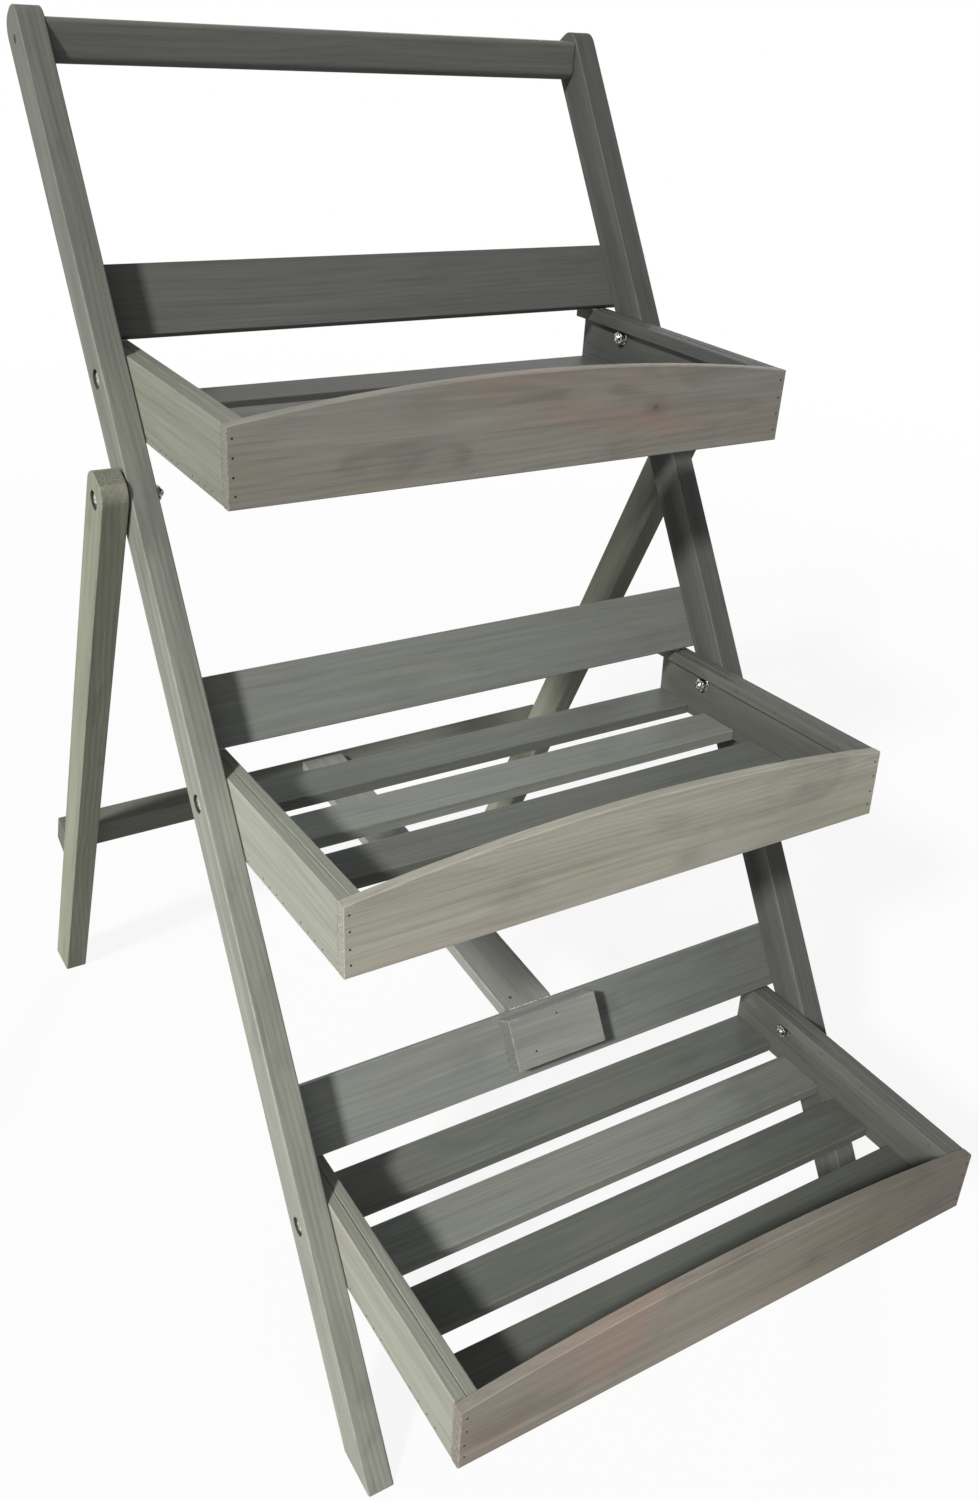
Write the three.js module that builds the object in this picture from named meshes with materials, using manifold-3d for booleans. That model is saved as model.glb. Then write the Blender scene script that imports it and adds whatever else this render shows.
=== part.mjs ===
// Folding garden shelf: three trays on leaning legs, with a hinged rear frame and a tie strap
import * as THREE from 'three';
import { mergeVertices } from 'three/addons/utils/BufferGeometryUtils.js';
import Module from 'manifold-3d';

// Sizes are in millimetres and angles in degrees
// X runs to the right, Y to the back and Z up; the shelf stands on z = 0

// Legs
const inner_width = 600;
const leg_thickness = 26.5;
const leg_depth = 43;
const leg_end_radius = 17;
const front_leg_length = 1428;
const front_rake = 33.82;
const rear_spread = 23.24;
const pivot_run = 960.9;
const rear_leg_rise = 26.5;

// Clearances
const seat_gap = 0.3;
const hole_clearance = 0.4;
const tray_side_clearance = 1;
const cut_overrun = 1;

// Worn edges of the sawn wood
const board_ease = 0.8;
const leg_ease = 1;
const end_ease_share = 0.5;

// Trays, all alike
const tray_depth = 335.5;
const side_height = 71;
const side_thickness = 11.9;
const front_thickness = 11.4;
const front_rise = 21;
const batten_height = 13;
const batten_thickness = 10.6;
const batten_overhang = 3.5;
const wide_slat = 58.3;
const narrow_slat = 52.5;
const slat_thickness = 12;
const slat_front_gap = 20.4;
const slat_rear_margin = 1.5;
const tray_bolt_back = 257;

// Where each tray's bolts sit along the front legs
const top_bolt_run = 1073.7;
const middle_bolt_run = 664.5;
const bottom_bolt_run = 255;

// How high the bolts sit above the slats' undersides; the holes were drilled by hand
const top_bolt_height = 49.5;
const middle_bolt_height = 46.9;
const bottom_bolt_height = 47.1;

// How far each tray's front is tipped up
const top_lean = 1.1;
const middle_lean = 4;
const bottom_lean = 1.88;

// Each tray's place, tip and stock, with its slats from the front to the rear
const all_wide = [wide_slat, wide_slat, wide_slat, wide_slat];
const all_narrow = [narrow_slat, narrow_slat, narrow_slat, narrow_slat];
const one_narrow = [wide_slat, narrow_slat, wide_slat, wide_slat];
const top_tray = {
  name: 'top', bolt_run: top_bolt_run, bolt_height: top_bolt_height, lean: top_lean, slats: all_wide,
};
const middle_tray = {
  name: 'middle', bolt_run: middle_bolt_run, bolt_height: middle_bolt_height, lean: middle_lean,
  slats: all_narrow,
};
const bottom_tray = {
  name: 'bottom', bolt_run: bottom_bolt_run, bolt_height: bottom_bolt_height, lean: bottom_lean,
  slats: one_narrow,
};
const tray_places = [top_tray, middle_tray, bottom_tray];

// Back rails, on the rear faces of the front legs
const rail_height = 71.2;
const rail_thickness = 11;
const rail_end_inset = 6;

// Top rail, upright between the front legs
const top_rail_height = 39;
const top_rail_thickness = 26;
const top_rail_drop = 28;
const top_rail_round = 9;
const top_rail_ease = 4;

// Crossbar, on the rear faces of the rear legs
const crossbar_drop = 569.2;
const crossbar_height = 42.6;
const crossbar_thickness = 25.4;
const crossbar_tilt = 0.96;

// Tie strap from the bottom rail to the crossbar, and the block that backs its hinge
const strap_width = 58.9;
const strap_thickness = 13.3;
const strap_head_x = -13.7;
const strap_tail_x = 0.3;
const strap_tail_reach = 6.3;
const block_width = 108.7;
const block_height = 54.1;
const block_thickness = 22;
const block_drop = 3.7;
const block_x = -6.2;

// Strap hinge
const hinge_width = 50;
const leaf_height = 9;
const leaf_thickness = 1.8;
const knuckle_radius = 2;
const pin_radius = 1;
const knuckle_share = 0.25;

// Bolts, nuts and washers
const bolt_radius = 4;
const head_across_flats = 13;
const head_height = 5.3;
const nut_height = 6.5;
const washer_radius = 8;
const washer_thickness = 1.6;
const counterbore_radius = 9.5;
const counterbore_depth = 9;
const bolt_end_projection = 3;

// How finely the round shapes are cut
const hole_segments = 24;
const arc_segments = 20;
const corner_segments = 4;

// Worked-out angles and places
const rake = THREE.MathUtils.degToRad(front_rake);
const spread = THREE.MathUtils.degToRad(rear_spread);
const tilt = THREE.MathUtils.degToRad(crossbar_tilt);
const leg_centre = leg_depth / 2;
const front_outer = inner_width / 2 + leg_thickness;
const leg_gap = washer_thickness + 2 * seat_gap;
const rear_inner = front_outer + leg_gap;
const rear_outer = rear_inner + leg_thickness;
const rail_front = leg_depth + seat_gap;
const rail_rear = rail_front + rail_thickness;
const tray_width = inner_width - 2 * tray_side_clearance;
const side_inner = tray_width / 2 - side_thickness;
const hole_radius = bolt_radius + hole_clearance;

const wasm = await Module();
wasm.setup();

// Finishes
function finish(red, green, blue, roughness, metalness) {
  const color = new THREE.Color().setRGB(red, green, blue, THREE.SRGBColorSpace);
  return new THREE.MeshStandardMaterial({ color, roughness, metalness });
}

const leg_wood = () => finish(0.53, 0.54, 0.48, 0.85, 0);
const panel_wood = () => finish(0.53, 0.51, 0.46, 0.85, 0);
const slat_wood = () => finish(0.44, 0.46, 0.43, 0.88, 0);
const rail_wood = () => finish(0.4, 0.42, 0.4, 0.88, 0);
const zinc = () => finish(0.72, 0.73, 0.74, 0.35, 0.9);

// A closed geometry as a solid that can be cut and joined
function solid(geometry) {
  const bare = geometry.clone();
  bare.deleteAttribute('normal');
  bare.deleteAttribute('uv');
  const merged = mergeVertices(bare);
  return new wasm.Manifold(new wasm.Mesh({
    numProp: 3,
    vertProperties: new Float32Array(merged.attributes.position.array),
    triVerts: new Uint32Array(merged.index.array),
  }));
}

function geometry_of(body) {
  const mesh = body.getMesh();
  const geometry = new THREE.BufferGeometry();
  geometry.setAttribute('position', new THREE.BufferAttribute(mesh.vertProperties, 3));
  geometry.setIndex(new THREE.BufferAttribute(mesh.triVerts, 1));
  geometry.computeVertexNormals();
  return geometry;
}

// One geometry less some others
function cut(geometry, tools) {
  let body = solid(geometry);
  for (const tool of tools) body = body.subtract(solid(tool));
  return geometry_of(body);
}

// Several geometries made into one body
function join(geometries) {
  let body = solid(geometries[0]);
  for (const geometry of geometries.slice(1)) body = body.add(solid(geometry));
  return geometry_of(body);
}

function piece(name, geometry, material) {
  const mesh = new THREE.Mesh(geometry, material);
  mesh.name = name;
  return mesh;
}

// An outline given a thickness along X, with its first axis along Y and its second along Z
function across(shape, thickness, ease) {
  const geometry = plate(shape, thickness, ease);
  const y_axis = new THREE.Vector3(0, 1, 0);
  const z_axis = new THREE.Vector3(0, 0, 1);
  const x_axis = new THREE.Vector3(1, 0, 0);
  geometry.applyMatrix4(new THREE.Matrix4().makeBasis(y_axis, z_axis, x_axis));
  return geometry;
}

// An outline given a thickness, with worn edges round both faces
function plate(shape, thickness, ease) {
  const geometry = new THREE.ExtrudeGeometry(shape, {
    depth: thickness - 2 * ease,
    bevelEnabled: true,
    bevelThickness: ease,
    bevelSize: ease,
    bevelOffset: -ease,
    bevelSegments: 1,
    curveSegments: corner_segments,
  });
  geometry.translate(0, 0, ease);
  return geometry;
}

// A rectangle with one radius on its lower corners and another on its upper ones
function section(width, height, lower_radius, upper_radius) {
  const shape = new THREE.Shape();
  const quarter = Math.PI / 2;
  shape.absarc(width - lower_radius, lower_radius, lower_radius, -quarter, 0);
  shape.absarc(width - upper_radius, height - upper_radius, upper_radius, 0, quarter);
  shape.absarc(upper_radius, height - upper_radius, upper_radius, quarter, Math.PI);
  shape.absarc(lower_radius, lower_radius, lower_radius, Math.PI, Math.PI + quarter);
  return shape;
}

function rectangle(width, height) {
  const shape = new THREE.Shape();
  shape.moveTo(0, 0);
  shape.lineTo(width, 0);
  shape.lineTo(width, height);
  shape.lineTo(0, height);
  shape.closePath();
  return shape;
}

// A straight board along X, centred on x = 0, with its corner at y = z = 0
function board(length, width, height, ease) {
  const geometry = across(section(width, height, ease, ease), length, ease * end_ease_share);
  geometry.translate(-length / 2, 0, 0);
  return geometry;
}

// A round bar along X from start to end
function bar(radius, start, end, segments = hole_segments) {
  const geometry = new THREE.CylinderGeometry(radius, radius, Math.abs(end - start), segments);
  geometry.rotateZ(Math.PI / 2);
  geometry.translate((start + end) / 2, 0, 0);
  return geometry;
}

function hex(across_flats, start, end) {
  const radius = across_flats / 2 / Math.cos(Math.PI / 6);
  return bar(radius, start, end, 6);
}

// Legs

// The side view of a leg, from its front face to its rear, cut along the floor and round on top
function leg_outline(foot_front, foot_rear, top) {
  const shape = new THREE.Shape();
  const radius = leg_end_radius;
  shape.moveTo(0, foot_front);
  shape.lineTo(leg_depth, foot_rear);
  shape.absarc(leg_depth - radius, top - radius, radius, 0, Math.PI / 2);
  shape.absarc(radius, top - radius, radius, Math.PI / 2, Math.PI);
  shape.closePath();
  return shape;
}

// Holes through a leg at the given runs, each with a counterbore from the given face if it has one
function leg_holes(places, outer_face, inward) {
  const tools = [];
  for (const { run, sunk } of places) {
    const reach = leg_thickness + 2 * cut_overrun;
    const start = outer_face - inward * cut_overrun;
    const hole = bar(hole_radius, start, start + inward * reach);
    tools.push(hole.translate(0, leg_centre, run));
    if (!sunk) continue;
    const floor = outer_face + inward * counterbore_depth;
    tools.push(bar(counterbore_radius, start, floor).translate(0, leg_centre, run));
  }
  return tools;
}

function front_leg(side) {
  const outline = leg_outline(0, leg_depth * Math.tan(rake), front_leg_length);
  const geometry = across(outline, leg_thickness, leg_ease);
  geometry.translate(side > 0 ? inner_width / 2 : -front_outer, 0, 0);
  const places = tray_places.map((place) => ({ run: place.bolt_run, sunk: true }));
  places.push({ run: pivot_run, sunk: false });
  return cut(geometry, leg_holes(places, side * front_outer, -side));
}

// Height along the rear leg, from the pivot, of the floor below a given depth in the leg
function rear_floor(depth) {
  return -(pivot_height + (depth - leg_centre) * Math.sin(spread)) / Math.cos(spread);
}

function rear_leg(side) {
  const outline = leg_outline(rear_floor(0), rear_floor(leg_depth), rear_leg_rise);
  const geometry = across(outline, leg_thickness, leg_ease);
  geometry.translate(side > 0 ? rear_inner : -rear_outer, 0, 0);
  const holed = cut(geometry, leg_holes([{ run: 0, sunk: true }], side * rear_outer, -side));
  return holed.translate(0, -leg_centre, 0);
}

// Rails and crossbar

const rail_length = 2 * (front_outer - rail_end_inset);

// How far above a tray's bolts its rail starts, so that the tray's top edge rests under the rail
function rail_rise(place) {
  const behind = rail_rear - leg_centre;
  const above = side_height - place.bolt_height + seat_gap;
  const turn = rake - THREE.MathUtils.degToRad(place.lean);
  return (above + behind * Math.sin(turn)) / Math.cos(turn);
}

function rail_bottom(place) {
  return place.bolt_run + rail_rise(place);
}

function top_rail() {
  const length = inner_width - 2 * seat_gap;
  const shape = section(top_rail_thickness, top_rail_height, top_rail_round, top_rail_ease);
  const geometry = across(shape, length, leg_ease);
  geometry.translate(-length / 2, -top_rail_thickness / 2, -top_rail_height / 2);
  return geometry;
}

const crossbar_front = leg_centre + seat_gap;

// The crossbar, nailed on a little out of level
function crossbar() {
  const bar_body = board(2 * rear_outer, crossbar_thickness, crossbar_height, leg_ease);
  bar_body.translate(0, 0, -crossbar_height / 2);
  bar_body.rotateY(-tilt);
  return bar_body.translate(0, crossbar_front, -crossbar_drop - crossbar_height / 2);
}

// Strap and its hinge

// The strap's side view, from the pin: its head is cut to the slope of the rail's rear face
function strap_outline(length, turn) {
  const top = knuckle_radius;
  const bottom = top - strap_thickness;
  const behind = knuckle_radius + seat_gap;
  const head = (height) => (behind + height * Math.sin(turn)) / Math.cos(turn);
  const shape = new THREE.Shape();
  shape.moveTo(head(bottom), bottom);
  shape.lineTo(length, bottom);
  shape.lineTo(length, top);
  shape.lineTo(head(top), top);
  shape.closePath();
  return shape;
}

function strap_board(length, turn) {
  const geometry = across(strap_outline(length, turn), strap_width, board_ease);
  geometry.translate(-strap_width / 2, 0, 0);
  const skew = (strap_tail_x - strap_head_x) / length;
  return geometry.applyMatrix4(new THREE.Matrix4().makeShear(0, 0, skew, 0, 0, 0));
}

const knuckle_length = hinge_width * knuckle_share;

// The stretches of the hinge line that belong to the rail's leaf and to the strap's
const rail_knuckles = [
  [-hinge_width / 2, -hinge_width / 2 + knuckle_length],
  [hinge_width / 2 - knuckle_length, hinge_width / 2],
];
const strap_knuckles = [
  [-hinge_width / 2 + knuckle_length + seat_gap, hinge_width / 2 - knuckle_length - seat_gap],
];

// A hinge leaf that hangs from its knuckles, in front of the pin (-1) or behind it (1)
function hinge_leaf(own, other, direction) {
  const leaf = new THREE.BoxGeometry(hinge_width, leaf_thickness, leaf_height);
  leaf.translate(0, direction * (knuckle_radius - leaf_thickness / 2), -leaf_height / 2);
  const tubes = own.map(([start, end]) => bar(knuckle_radius, start, end, arc_segments));
  const clear = knuckle_radius + seat_gap;
  const spaces = other.map(([start, end]) => bar(clear, start - seat_gap, end + seat_gap, arc_segments));
  const reach = hinge_width / 2 + cut_overrun;
  spaces.push(bar(pin_radius + seat_gap, -reach, reach, arc_segments));
  return cut(join([leaf, ...tubes]), spaces);
}

// Bolts, nuts and washers

// A hexagon bolt along X with a washer under its head; the washer's seat is at x = 0
function hex_bolt(grip, direction) {
  const head_start = -washer_thickness * direction;
  const head = hex(head_across_flats, head_start, head_start - head_height * direction);
  const washer = bar(washer_radius, 0, head_start);
  const shank = bar(bolt_radius, head_start, grip * direction);
  return join([washer, head, shank]);
}

// A nut and its washer, seated at x = 0
function nut(direction) {
  const washer = bar(washer_radius, 0, washer_thickness * direction);
  const top = (washer_thickness + nut_height) * direction;
  const body = join([washer, hex(head_across_flats, washer_thickness * direction, top)]);
  const start = -cut_overrun * direction;
  return cut(body, [bar(bolt_radius + seat_gap, start, top + cut_overrun * direction)]);
}

// Adds a bolt, and the nut inside, at a place in a group; the faces are distances from the middle
function add_bolt(group, name, side, seat, nut_seat, y, z) {
  const nut_end = nut_seat - seat_gap - washer_thickness - nut_height;
  const grip = seat + seat_gap - nut_end + bolt_end_projection;
  const bolt = piece(`${name}_bolt`, hex_bolt(grip, -side), zinc());
  bolt.position.set(side * (seat + seat_gap), y, z);
  const lock = piece(`${name}_nut`, nut(-side), zinc());
  lock.position.set(side * (nut_seat - seat_gap), y, z);
  group.add(bolt, lock);
}

// Trays

// The front panel's arched top runs from corner to corner in one arc
function front_outline() {
  const half = tray_width / 2;
  const radius = (half * half + front_rise * front_rise) / (2 * front_rise);
  const centre = side_height + front_rise - radius;
  const swing = Math.asin(half / radius);
  const shape = new THREE.Shape();
  shape.moveTo(-half, 0);
  shape.lineTo(half, 0);
  for (let step = 0; step <= arc_segments; step++) {
    const angle = swing * (1 - 2 * step / arc_segments);
    shape.lineTo(radius * Math.sin(angle), centre + radius * Math.cos(angle));
  }
  shape.closePath();
  return shape;
}

function front_panel() {
  const geometry = plate(front_outline(), front_thickness, board_ease);
  geometry.rotateX(Math.PI / 2);
  return geometry.translate(0, front_thickness, 0);
}

function side_panel(side, bolt_height) {
  const start = front_thickness + seat_gap;
  const outline = rectangle(tray_depth - start, side_height);
  const geometry = across(outline, side_thickness, board_ease);
  geometry.translate(side > 0 ? side_inner : -tray_width / 2, start, 0);
  const reach = side_thickness + 2 * cut_overrun;
  const first = side * (side_inner - cut_overrun);
  const hole = bar(hole_radius, first, first + side * reach);
  return cut(geometry, [hole.translate(0, tray_bolt_back, bolt_height)]);
}

function batten(side) {
  const start = front_thickness + seat_gap;
  const length = tray_depth + batten_overhang - start;
  const geometry = across(rectangle(length, batten_height), batten_thickness, board_ease);
  const inner = side_inner - seat_gap - batten_thickness;
  geometry.translate(side > 0 ? inner : -inner - batten_thickness, start, side_height - batten_height);
  return geometry;
}

// A slat of the given width; the rear edges are evenly spread over the tray's depth
function slat(width, index, count) {
  const length = 2 * (side_inner - seat_gap);
  const first = front_thickness + slat_front_gap + wide_slat;
  const last = tray_depth - slat_rear_margin;
  const rear = first + (last - first) * index / (count - 1);
  const geometry = board(length, width, slat_thickness, board_ease);
  return geometry.translate(0, rear - width, 0);
}

function tray(place) {
  const hung = new THREE.Group();
  const box = new THREE.Group();
  hung.rotation.x = -THREE.MathUtils.degToRad(place.lean);
  const [bolt_y, bolt_z] = leg_point(leg_centre, place.bolt_run);
  hung.position.set(0, bolt_y, bolt_z);
  box.position.set(0, -tray_bolt_back, -place.bolt_height);
  hung.add(box);
  box.add(piece(`tray_${place.name}_front`, front_panel(), panel_wood()));
  for (const [hand, side] of [['left', -1], ['right', 1]]) {
    const panel = side_panel(side, place.bolt_height);
    box.add(piece(`tray_${place.name}_side_${hand}`, panel, panel_wood()));
    box.add(piece(`tray_${place.name}_batten_${hand}`, batten(side), slat_wood()));
  }
  place.slats.forEach((width, index) => {
    const geometry = slat(width, index, place.slats.length);
    box.add(piece(`tray_${place.name}_slat_${index + 1}`, geometry, slat_wood()));
  });
  return hung;
}

// Assembly

// The point in the shelf's own Y and Z of a depth and a run in the front legs
function leg_point(depth, run) {
  return [
    depth * Math.cos(rake) + run * Math.sin(rake),
    run * Math.cos(rake) - depth * Math.sin(rake),
  ];
}

const [pivot_back, pivot_height] = leg_point(leg_centre, pivot_run);

const shelf = new THREE.Group();

// Front frame, in a group whose Y is the depth and whose Z is the run of the front legs
const front_frame = new THREE.Group();
front_frame.rotation.x = -rake;
shelf.add(front_frame);

for (const [hand, side] of [['left', -1], ['right', 1]]) {
  front_frame.add(piece(`front_leg_${hand}`, front_leg(side), leg_wood()));
  const nut_seat = side_inner;
  const bolt_seat = front_outer - counterbore_depth;
  for (const place of tray_places) {
    const name = `tray_${place.name}_${hand}`;
    add_bolt(front_frame, name, side, bolt_seat, nut_seat, leg_centre, place.bolt_run);
  }
  const pivot_seat = rear_outer - counterbore_depth;
  add_bolt(front_frame, `pivot_${hand}`, side, pivot_seat, inner_width / 2, leg_centre, pivot_run);
  const start = side * (front_outer + seat_gap);
  const ring = cut(
    bar(washer_radius, start, start + side * washer_thickness),
    [bar(hole_radius, start - side * cut_overrun, start + side * (washer_thickness + cut_overrun))],
  );
  const spacer = piece(`pivot_${hand}_spacer`, ring, zinc());
  spacer.position.set(0, leg_centre, pivot_run);
  front_frame.add(spacer);
}

for (const place of tray_places) {
  const rail = board(rail_length, rail_thickness, rail_height, board_ease);
  rail.translate(0, rail_front, rail_bottom(place));
  front_frame.add(piece(`back_rail_${place.name}`, rail, rail_wood()));
}

const top_rail_piece = piece('top_rail', top_rail(), rail_wood());
const [top_rail_y, top_rail_z] = leg_point(leg_centre, front_leg_length - top_rail_drop);
top_rail_piece.position.set(0, top_rail_y, top_rail_z);
shelf.add(top_rail_piece);

// The block in front of the bottom rail
const rail_top = rail_bottom(bottom_tray) + rail_height;
const block = board(block_width, block_thickness, block_height, board_ease);
block.translate(block_x, leg_depth - block_thickness, rail_top - block_drop - block_height);
front_frame.add(piece('hinge_block', block, panel_wood()));

// The hinge at the bottom rail's upper rear edge
const pin_depth = rail_rear + seat_gap + knuckle_radius;
const pin_run = rail_top - knuckle_radius;
const rail_leaf = piece('strap_hinge_rail_leaf', hinge_leaf(rail_knuckles, strap_knuckles, -1), zinc());
const pin_half = hinge_width / 2;
const hinge_pin = piece('strap_hinge_pin', bar(pin_radius, -pin_half, pin_half, arc_segments), zinc());
for (const part of [rail_leaf, hinge_pin]) {
  part.position.set(strap_head_x, pin_depth, pin_run);
  front_frame.add(part);
}

// The strap's tail rests on the crossbar's top, a little way behind its front face
const [pin_y, pin_z] = leg_point(pin_depth, pin_run);
const rest_back = crossbar_front + strap_tail_reach;
const rest_top = (strap_tail_x + strap_width / 2) * Math.tan(tilt) - crossbar_drop;
const rest_y = pivot_back + rest_back * Math.cos(spread) - rest_top * Math.sin(spread);
const rest_z = pivot_height + rest_back * Math.sin(spread) + rest_top * Math.cos(spread);
const rest_reach = Math.hypot(rest_y - pin_y, rest_z - pin_z);
const under = strap_thickness - knuckle_radius + seat_gap;
const strap_fall = Math.atan2(pin_z - rest_z, rest_y - pin_y) - Math.asin(under / rest_reach);
const strap_length = Math.sqrt(rest_reach ** 2 - under ** 2);

// Rear frame, in a group that turns on the pivot
const rear_frame = new THREE.Group();
rear_frame.position.set(0, pivot_back, pivot_height);
rear_frame.rotation.x = spread;
shelf.add(rear_frame);
for (const [hand, side] of [['left', -1], ['right', 1]]) {
  rear_frame.add(piece(`rear_leg_${hand}`, rear_leg(side), leg_wood()));
}
rear_frame.add(piece('crossbar', crossbar(), rail_wood()));

const strap = new THREE.Group();
strap.position.set(strap_head_x, pin_y, pin_z);
strap.rotation.x = -strap_fall;
strap.add(piece('tie_strap', strap_board(strap_length, rake - strap_fall), rail_wood()));
const strap_leaf = piece('strap_hinge_strap_leaf', hinge_leaf(strap_knuckles, rail_knuckles, 1), zinc());
strap_leaf.rotation.x = -(rake - strap_fall);
strap.add(strap_leaf);
shelf.add(strap);

for (const place of tray_places) shelf.add(tray(place));

// The origin is on the floor under the middle of the shelf
shelf.updateMatrixWorld(true);
const middle = new THREE.Box3().setFromObject(shelf, true).getCenter(new THREE.Vector3());
shelf.position.y = -middle.y;

const garden_shelf = new THREE.Group();
garden_shelf.add(shelf);

export default garden_shelf;
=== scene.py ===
"""Looks of a folding garden shelf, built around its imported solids."""
import logging
import math
import random
from collections.abc import Iterable, Sequence
from dataclasses import dataclass, field, replace
from enum import Enum
from typing import Any

import bmesh
import bpy
from mathutils import Euler, Matrix, Vector


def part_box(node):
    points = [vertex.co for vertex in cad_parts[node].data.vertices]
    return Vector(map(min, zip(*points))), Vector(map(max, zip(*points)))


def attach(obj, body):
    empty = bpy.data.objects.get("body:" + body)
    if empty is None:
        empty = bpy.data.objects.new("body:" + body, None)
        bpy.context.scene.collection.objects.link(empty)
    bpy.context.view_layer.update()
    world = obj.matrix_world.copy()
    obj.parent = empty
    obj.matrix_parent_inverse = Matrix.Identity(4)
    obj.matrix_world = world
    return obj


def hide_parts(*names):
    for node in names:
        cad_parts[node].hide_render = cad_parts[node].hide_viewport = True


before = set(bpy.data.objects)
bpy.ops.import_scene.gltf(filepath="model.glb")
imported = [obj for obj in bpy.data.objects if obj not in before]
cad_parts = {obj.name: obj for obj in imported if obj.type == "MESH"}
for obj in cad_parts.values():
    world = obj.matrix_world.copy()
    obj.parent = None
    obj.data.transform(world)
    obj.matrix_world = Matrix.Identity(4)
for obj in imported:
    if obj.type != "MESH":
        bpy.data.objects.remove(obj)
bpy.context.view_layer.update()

Colour = tuple[float, float, float]
Point = tuple[float, float, float]
HANDS = (("left", -1), ("right", 1))
WHITE = (1.0, 1.0, 1.0)
log = logging.getLogger("garden_shelf")


def linear(red: int, green: int, blue: int) -> Colour:
    """A colour on a screen, turned by the screens' usual curve into the values that shaders use.

    Args:
        red: Red, from 0 to 255.
        green: Green, from 0 to 255.
        blue: Blue, from 0 to 255.

    Returns:
        The three linear values, from 0 to 1.
    """
    shares = (value / 255 for value in (red, green, blue))
    return tuple(((s + 0.055) / 1.055) ** 2.4 if s > 0.04045 else s / 12.92 for s in shares)


def scaled(colour: Colour, share: float) -> Colour:
    """The colour with each value times a share."""
    return tuple(value * share for value in colour)


# Shader graphs


class Value:
    """One output in a shader graph, with the arithmetic that the finishes are written in."""

    def __init__(self, graph: "Graph", socket: bpy.types.NodeSocket) -> None:
        """Keeps the graph and the socket that gives the value."""
        self.graph = graph
        self.socket = socket

    def _math(self, operation: str, *values: "Value | float") -> "Value":
        """A Math node on some values, which are sockets or plain numbers."""
        return self.graph.node("ShaderNodeMath", {"operation": operation}, dict(enumerate(values)))

    def __add__(self, other: "Value | float") -> "Value":
        """The sum."""
        return self._math("ADD", self, other)

    def __radd__(self, other: float) -> "Value":
        """The sum, with a plain number first."""
        return self._math("ADD", other, self)

    def __sub__(self, other: "Value | float") -> "Value":
        """The difference."""
        return self._math("SUBTRACT", self, other)

    def __rsub__(self, other: float) -> "Value":
        """The difference, with a plain number first."""
        return self._math("SUBTRACT", other, self)

    def __mul__(self, other: "Value | float") -> "Value":
        """The product."""
        return self._math("MULTIPLY", self, other)

    def __rmul__(self, other: float) -> "Value":
        """The product, with a plain number first."""
        return self._math("MULTIPLY", other, self)

    def __abs__(self) -> "Value":
        """The size without its sign."""
        return self._math("ABSOLUTE", self)

    def least(self, other: "Value | float") -> "Value":
        """The smaller of two values."""
        return self._math("MINIMUM", self, other)

    def most(self, other: "Value | float") -> "Value":
        """The larger of two values."""
        return self._math("MAXIMUM", self, other)

    def root(self) -> "Value":
        """The square root."""
        return self._math("SQRT", self)

    def wave(self) -> "Value":
        """The sine, with the value in radians."""
        return self._math("SINE", self)

    def rise(self, low: float, high: float) -> "Value":
        """A smooth step.

        Args:
            low: Where the step starts; above high for a step down.
            high: Where it ends.

        Returns:
            0 at low and 1 at high, smooth between them.
        """
        flip = low > high
        ends = {"From Min": min(low, high), "From Max": max(low, high)}
        ends |= {"To Min": float(flip), "To Max": float(not flip), "Value": self}
        return self.graph.node("ShaderNodeMapRange", {"interpolation_type": "SMOOTHSTEP"}, ends)


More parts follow.
